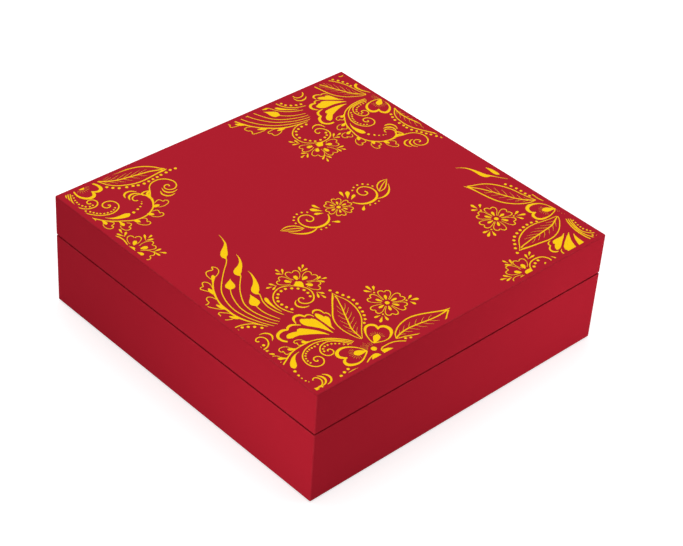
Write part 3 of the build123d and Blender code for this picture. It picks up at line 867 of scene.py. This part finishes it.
def heart_spray():
    """The leaning spray of open hearts."""
    return lines(
        [(-27.9, 43.6, .25), (-29.8, 46.7, .38), (-31.2, 49.4, .42), (-32.5, 51.9, .5), (-33.6, 54.4, .58),
         (-34.5, 57.1, .7), (-35, 59.8), (-35.1, 62.5, .6), (-35, 64.9, .65), (-35, 67.5, .68),
         (-34.7, 70.2, .62), (-34, 72.7, .52), (-33.1, 75.4, .55), (-32, 78, .7), (-30.5, 80.7, .6),
         (-28.6, 83.3, .5), (-26.7, 85.7, .55), (-24.9, 87.8, .9), (-23.6, 89.3, 1.15), (-22.9, 90.4, .5)],
        [(-35.1, 56.6, .6), (-36, 58.2, .95), (-36.8, 59.6, .85), (-37.4, 60.7, .4)],
        [(-35.1, 66, .6), (-35.7, 68, 1.05), (-36.2, 70, .85), (-36.5, 71.5, .4)],
        [(-32.2, 78.6, .6), (-31.9, 80.5, 1.1), (-31.6, 82.2, 1.05), (-31.3, 83.6, .4)],
        [(-25.6, 88.2, .3), (-25.6, 90.6, .34), (-25, 92.9, .36), (-23.6, 94.3, .4), (-21.9, 94.2, .45),
         (-20.3, 93.8, .4), (-19.2, 95.7, .45)],
        [(-19.2, 95.8, .45), (-18.1, 94.9, .36), (-17.7, 93), (-18.6, 91), (-20.5, 89.5),
         (-22.8, 88.6, .34)],
        [(-32.4, 80.9, .3), (-33.2, 82.3, .34), (-34.1, 84.1, .36), (-34.6, 85.7, .38), (-33.8, 86.4, .4),
         (-32.4, 86.3), (-31.8, 87.3)],
        [(-31.8, 87.3, .4), (-30.6, 88.8), (-29.3, 88.4, .38), (-28.5, 86.5, .36), (-28.8, 84.4, .34),
         (-29.7, 82.3, .32)],
        [(-35.6, 66.4, .3), (-37.5, 68, .34), (-39.1, 70.2, .36), (-40.4, 72.5, .38), (-40.8, 74.2, .4),
         (-39.2, 74.4), (-38, 75, .38)],
        [(-38, 75, .38), (-37.8, 76.8), (-36.4, 78.4), (-34.9, 77.8, .36), (-34, 75.8, .34),
         (-33.6, 74, .3)],
        [(-35.3, 61.4, .3), (-36.4, 63.2, .34), (-37.8, 64.6, .36), (-39.2, 65.8, .4), (-40.1, 65.4),
         (-40.2, 63.8, .36)],
        [(-40.2, 63.7, .36), (-41.7, 62.9, .38), (-42, 61.8, .36), (-41, 60.3), (-39.2, 58.9),
         (-37.2, 58.1, .34)]), []


def low_buds():
    """Two drop buds that lean out to the right."""
    return lines(
        [(30.5, -14.9, .2), (33.5, -14.7, .3), (36.5, -14.6, .35), (39.3, -14.6, .7), (41.3, -13.8, 1.4),
         (43.4, -14.1, 1.5), (46, -15.3, 1.15), (49.1, -16.5, .75), (52.3, -17, .5), (55, -16.5, .32),
         (57.7, -15.3, .15)],
        [(35.2, -17.3, .5), (36.4, -17.6, 1.15), (38.2, -18.5, 1.3), (40.3, -19.9, 1), (42.9, -21, .4)]), []


def centre_flourish():
    """A flower between two scrolls for the lid's middle, drawn round its own middle."""
    strokes, pearls = [], [(0, 0, 1.15)]
    for turn in range(0, 360, 60):
        strokes += petal(0, 0, turn, 6.6, 2.5, .4)
        strokes.append(seed(0, 0, turn, 2.2, 4.9, .7))
    half = lines(
        [(8.6, -1.2, .4), (10.4, -4.2, .6), (13.6, -6.4, .8), (17.6, -7, .85), (21.4, -5.8, .75),
         (24.2, -3, .62), (25.2, .6, .52), (24.2, 4, .5), (21.6, 6, .48), (18.5, 5.6, .46),
         (16.6, 3.2, .45), (17, .4), (19.2, -.6, .47), (20.8, .6, .5), (20.5, 2.2, .55)],
        [(20.5, -6.5, .35), (24, -7.6, .55), (27.6, -7.2, .68), (30.8, -5.4, .6), (33.2, -3, .42),
         (35, -.4, .18)],
        [(26.4, -2.6, .3), (28, .6, .42), (30.6, 2.8, .48), (33.6, 3.6, .46), (37.4, 3, .15)],
        [(26.4, -2.8, .3), (29.2, -2.8, .42), (32.2, -1.4, .46), (34.8, .8, .4), (37.3, 2.9, .15)],
        [(26.7, -2.4, .4), (29.8, -.4, .42), (33, 1.3, .38), (36.4, 2.6, .22)])
    half += [drop(*leaflet) for leaflet in (
        (9, 2.8, 13.2, 7.6, 1.3), (9.8, 1, 14.2, 3.2, 1), (8.4, 5.2, 9.8, 9.8, .95),
        (11.4, -7.2, 8, -10, .95))]
    half_pearls = filled([
        (26.9, 3, .55), (26, 5.6, .6), (24, 7.6, .62), (21.2, 8.6), (18.2, 8.2, .6),
        (15.8, 6.6, .55), (14.2, -8.6, .5), (17.2, -9.4, .52), (20.2, -8.9, .5)])
    for side in (1, -1):
        strokes += [[(side * x, y, half_width) for x, y, half_width in path] for path in half]
        pearls += [(side * x, y, radius) for x, y, radius in half_pearls]
    return strokes, pearls


rosette_motifs = (middle_dot, big_hearts, leaves, six_petal_flower, fan_shell, tendril, right_scroll,
                  left_scroll, drop_buds, heart_spray, low_buds)

# The dot's place on the lid in millimetres, the print's turn in degrees and its size
corner_prints = {
    "gold_print_front_left": (-56.7, -91.95, 0.0, 1.0),
    "gold_print_back_right": (100.5, 67.0, 51.3, 0.994),
    "gold_print_back_left": (-87.6, 106.2, 118.7, 1.06),
    "gold_print_front_right": (100.3, -69.0, 122.4, 1.046),
}
flourish_print = (8.0, 2.6, 0.0, 1.0)


def draw_strokes(name, strokes, thinning):
    """A rounded pen line along every stroke, all of them one mesh."""
    clear_selection()
    bpy.ops.curve.primitive_bezier_curve_add()
    pen = bpy.context.object
    pen.name = name
    line = pen.data
    line.dimensions, line.twist_mode, line.fill_mode = "3D", "Z_UP", "FULL"
    line.bevel_depth, line.bevel_resolution, line.resolution_u = 1.0, PEN_ROUNDNESS, PEN_STEPS
    line.use_fill_caps = True
    line.splines.clear()
    for stroke in strokes:
        spline = line.splines.new("BEZIER")
        spline.radius_interpolation = "CARDINAL"
        spline.bezier_points.add(len(stroke) - 1)
        for point, (x, y, half_width) in zip(spline.bezier_points, stroke):
            point.co = (x, y, 0.0)
            point.radius = max(half_width - thinning, half_width * LEAST_SHARE)
            point.handle_left_type = point.handle_right_type = "AUTO"
    bpy.ops.object.convert(target="MESH")
    return pen


def add_pearls(drawing, pearls):
    """Joins a round bead to the drawing for every pearl."""
    clear_selection()
    bpy.ops.mesh.primitive_uv_sphere_add(segments=PEARL_SIDES, ring_count=PEARL_RINGS, radius=1.0)
    bead = bpy.context.object
    row = []
    for x, y, radius in pearls:
        copy = bead.copy()
        copy.data = bead.data.copy()
        copy.data.transform(Matrix.Translation((x, y, 0.0)) @ Matrix.Scale(radius, 4))
        link(copy)
        row.append(copy)
    pick(drawing, *row)
    bpy.ops.object.join()
    bpy.data.objects.remove(bead)


def press_flat(drawing, film):
    """Presses the drawing into a closed film with a flat underside, thickest where strokes are widest."""
    for vertex in drawing.data.vertices:
        z = vertex.co.z
        vertex.co.z = film * (1 - exp(-z / FILM_SLOPE)) if z > 0 else FILM_UNDERSIDE
    pick(drawing)
    bpy.ops.object.mode_set(mode="EDIT")
    bpy.ops.mesh.select_all(action="SELECT")
    bpy.ops.mesh.remove_doubles(threshold=MERGE_DISTANCE)
    bpy.ops.mesh.normals_make_consistent(inside=False)
    bpy.ops.object.mode_set(mode="OBJECT")


def pen_drawing(name, motifs, settings):
    """All the strokes and pearls of the motifs as one thin closed film, at one unit a millimetre."""
    strokes, pearls = [], []
    for motif in motifs:
        more_strokes, more_pearls = motif()
        strokes += more_strokes
        pearls += more_pearls
    drawing = draw_strokes(name, strokes, settings.thinning / MILLIMETRE)
    add_pearls(drawing, pearls)
    press_flat(drawing, settings.film / MILLIMETRE)
    return drawing


def lay_print(name, drawing, place, settings):
    """A copy of the drawing laid on the lid, cut off at the print's margin."""
    x, y, turn, size = place
    piece = drawing.copy()
    piece.data = drawing.data.copy()
    piece.name = piece.data.name = name
    link(piece)
    piece.data.transform(Matrix.Translation((x, y, 0.0)) @ Matrix.Rotation(radians(turn), 4, "Z")
                         @ Matrix.Diagonal((size, size, 1.0, 1.0)))
    pick(piece)
    bpy.ops.object.mode_set(mode="EDIT")
    lean = tan(settings.lean)
    middle = Vector((*settings.slip, 0.0))
    for outward, wall in (((1, -lean, 0), lid_high.x), ((-1, lean, 0), lid_high.x),
                          ((0, 1, 0), lid_high.y), ((0, -1, 0), lid_high.y)):
        bpy.ops.mesh.select_all(action="SELECT")
        edge = middle + Vector(outward) * (wall - settings.margin)
        bpy.ops.mesh.bisect(plane_co=edge / MILLIMETRE, plane_no=outward, clear_outer=True)
        bpy.ops.mesh.select_all(action="SELECT")
        bpy.ops.mesh.fill_holes(sides=0)
    bpy.ops.object.mode_set(mode="OBJECT")
    piece.data.transform(Matrix.Translation((0.0, 0.0, lid_high.z)) @ Matrix.Scale(MILLIMETRE, 4))
    bpy.ops.object.shade_smooth_by_angle(angle=SMOOTH_BELOW)
    piece.data.materials.clear()
    piece.data.materials.append(bpy.data.materials["Gold print"])
    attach(piece, "lid")


class SWEETBOX_OT_gold_ink(Operator):
    """Make the gold of the lid's print"""
    bl_idname = "sweetbox.gold_ink"
    bl_label = "Gold ink"

    def execute(self, context):
        finish("Gold print", context.scene.sweetbox_print.gold, roughness=0.4, gloss=0.03, mottle=0.012,
               fibres=1400.0, sheen=0.06, tooth=0.004, metal=0.12)
        return {"FINISHED"}


class SWEETBOX_OT_corner_prints(Operator):
    """Draw the henna rosette and print it on the lid's four corners"""
    bl_idname = "sweetbox.corner_prints"
    bl_label = "Corner rosettes"

    def execute(self, context):
        settings = context.scene.sweetbox_print
        rosette = pen_drawing("rosette", rosette_motifs, settings)
        for name, place in corner_prints.items():
            lay_print(name, rosette, place, settings)
        bpy.data.objects.remove(rosette)
        return {"FINISHED"}


class SWEETBOX_OT_centre_print(Operator):
    """Print a plain flourish in the middle of the lid"""
    bl_idname = "sweetbox.centre_print"
    bl_label = "Centre flourish"

    def execute(self, context):
        settings = context.scene.sweetbox_print
        flourish = pen_drawing("flourish", [centre_flourish], settings)
        lay_print("gold_print_centre", flourish, flourish_print, settings)
        bpy.data.objects.remove(flourish)
        return {"FINISHED"}


# The studio

def soft_light(name, place, target, size, power):
    """A soft square light that looks at the target."""
    clear_selection()
    bpy.ops.object.light_add(type="AREA", location=place)
    lamp = bpy.context.object
    lamp.name = name
    lamp.rotation_euler = (Vector(target) - Vector(place)).to_track_quat("-Z", "Y").to_euler()
    lamp.data.shape = "SQUARE"
    lamp.data.size = size
    lamp.data.energy = power
    lamp.visible_camera = False


def seen_white(tree):
    """1 where the camera, a reflection or a clear body looks, else 0."""
    ray = tree.nodes.new("ShaderNodeLightPath").outputs
    seen = sums(tree, "MAXIMUM", ray["Is Camera Ray"], ray["Is Glossy Ray"])
    return sums(tree, "MAXIMUM", seen, ray["Is Transmission Ray"])


def pale_floor(size):
    """A matt floor that looks white in the picture."""
    clear_selection()
    bpy.ops.mesh.primitive_plane_add(size=size, location=(0.0, 0.0, 0.0))
    floor = bpy.context.object
    floor.name = "studio_floor"
    paint = bpy.data.materials.new("Pale floor")
    paint.use_nodes = True
    tree = paint.node_tree
    tree.nodes.remove(tree.nodes["Principled BSDF"])
    matt = tree.nodes.new("ShaderNodeBsdfDiffuse")
    matt.inputs["Color"].default_value = FLOOR_GREY
    glow = tree.nodes.new("ShaderNodeEmission")
    tree.links.new(sums(tree, "MULTIPLY", seen_white(tree), FLOOR_GLOW), glow.inputs["Strength"])
    both = tree.nodes.new("ShaderNodeAddShader")
    tree.links.new(matt.outputs[0], both.inputs[0])
    tree.links.new(glow.outputs[0], both.inputs[1])
    tree.links.new(both.outputs[0], tree.nodes["Material Output"].inputs["Surface"])
    floor.data.materials.append(paint)


def white_surroundings(sky_level):
    """A plain world that lights the box softly and looks white."""
    world = bpy.data.worlds.new("White surroundings")
    bpy.context.scene.world = world
    world.use_nodes = True
    tree = world.node_tree
    sky = tree.nodes["Background"]
    sky.inputs["Color"].default_value = (1.0, 1.0, 1.0, 1.0)
    strength = sums(tree, "MULTIPLY_ADD", seen_white(tree), 1.0 - sky_level, sky_level)
    tree.links.new(strength, sky.inputs["Strength"])


def box_lights(overhead_power, side_power):
    """A large light above the box and a small one beside each wall."""
    soft_light("overhead", OVERHEAD_PLACE, OVERHEAD_TARGET, OVERHEAD_SIZE, overhead_power)
    beside, shift, level = cad_box[1].x + SIDE_LIGHT_GAP, SIDE_LIGHT_SHIFT, SIDE_LIGHT_HEIGHT
    for name, place, target in (
            ("left_light", (-beside, -shift, level), (0.0, -shift, level)),
            ("front_light", (shift, -beside, level), (shift, 0.0, level)),
            ("right_light", (beside, shift, level), (0.0, shift, level)),
            ("back_light", (-shift, beside, level), (-shift, 0.0, level))):
        soft_light(name, place, target, SIDE_LIGHT_SIZE, side_power)


def photo_camera(lens):
    """The camera that sees the box as the photo does."""
    clear_selection()
    bpy.ops.object.camera_add(location=CAMERA_PLACE)
    camera = bpy.context.object
    camera.name = "photo_camera"
    turned = Matrix.Identity(3)
    for degrees, axis in CAMERA_TURNS:
        turned = turned @ Matrix.Rotation(radians(degrees), 3, axis)
    camera.rotation_euler = turned.to_euler()
    camera.data.sensor_width, camera.data.lens = CAMERA_FILM_WIDTH, lens
    camera.data.clip_start = CAMERA_NEAR
    bpy.context.scene.camera = camera


class SWEETBOX_OT_studio(Operator):
    """Set the pale floor, the white surroundings, the soft lights and the camera"""
    bl_idname = "sweetbox.studio"
    bl_label = "Studio"

    def execute(self, context):
        studio = context.scene.sweetbox_studio
        context.scene.view_settings.view_transform = "Standard"
        pale_floor(studio.floor)
        white_surroundings(studio.sky)
        box_lights(studio.overhead, studio.side)
        photo_camera(studio.lens)
        return {"FINISHED"}


class SWEETBOX_PT_finish(Panel):
    """Lists the finishing steps in the order in which they are done"""
    bl_idname = "SWEETBOX_PT_finish"
    bl_label = "Mithai sweet box"
    bl_space_type = "VIEW_3D"
    bl_region_type = "UI"
    bl_category = "Sweet Box"

    def draw(self, context):
        scene = context.scene
        for settings in (scene.sweetbox_papers, scene.sweetbox_print, scene.sweetbox_studio):
            column = self.layout.column(align=True)
            for name in settings.__annotations__:
                column.prop(settings, name)
        for step in making_steps:
            self.layout.operator(step.bl_idname)


making_steps = (
    SWEETBOX_OT_shader_groups, SWEETBOX_OT_red_wraps, SWEETBOX_OT_neck_cover, SWEETBOX_OT_boards,
    SWEETBOX_OT_corner_tape, SWEETBOX_OT_linings, SWEETBOX_OT_dividers, SWEETBOX_OT_gold_ink,
    SWEETBOX_OT_corner_prints, SWEETBOX_OT_centre_print, SWEETBOX_OT_studio)
settings_groups = {
    "sweetbox_print": SweetBoxPrint,
    "sweetbox_papers": SweetBoxPapers,
    "sweetbox_studio": SweetBoxStudio,
}


def register():
    for part in (*settings_groups.values(), *making_steps, SWEETBOX_PT_finish):
        bpy.utils.register_class(part)
    for name, group in settings_groups.items():
        setattr(bpy.types.Scene, name, PointerProperty(type=group))


def unregister():
    for name in settings_groups:
        delattr(bpy.types.Scene, name)
    for part in reversed((*settings_groups.values(), *making_steps, SWEETBOX_PT_finish)):
        bpy.utils.unregister_class(part)


def main():
    register()
    for step in making_steps:
        area, name = step.bl_idname.split(".")
        getattr(getattr(bpy.ops, area), name)()


if __name__ == "__main__":
    main()
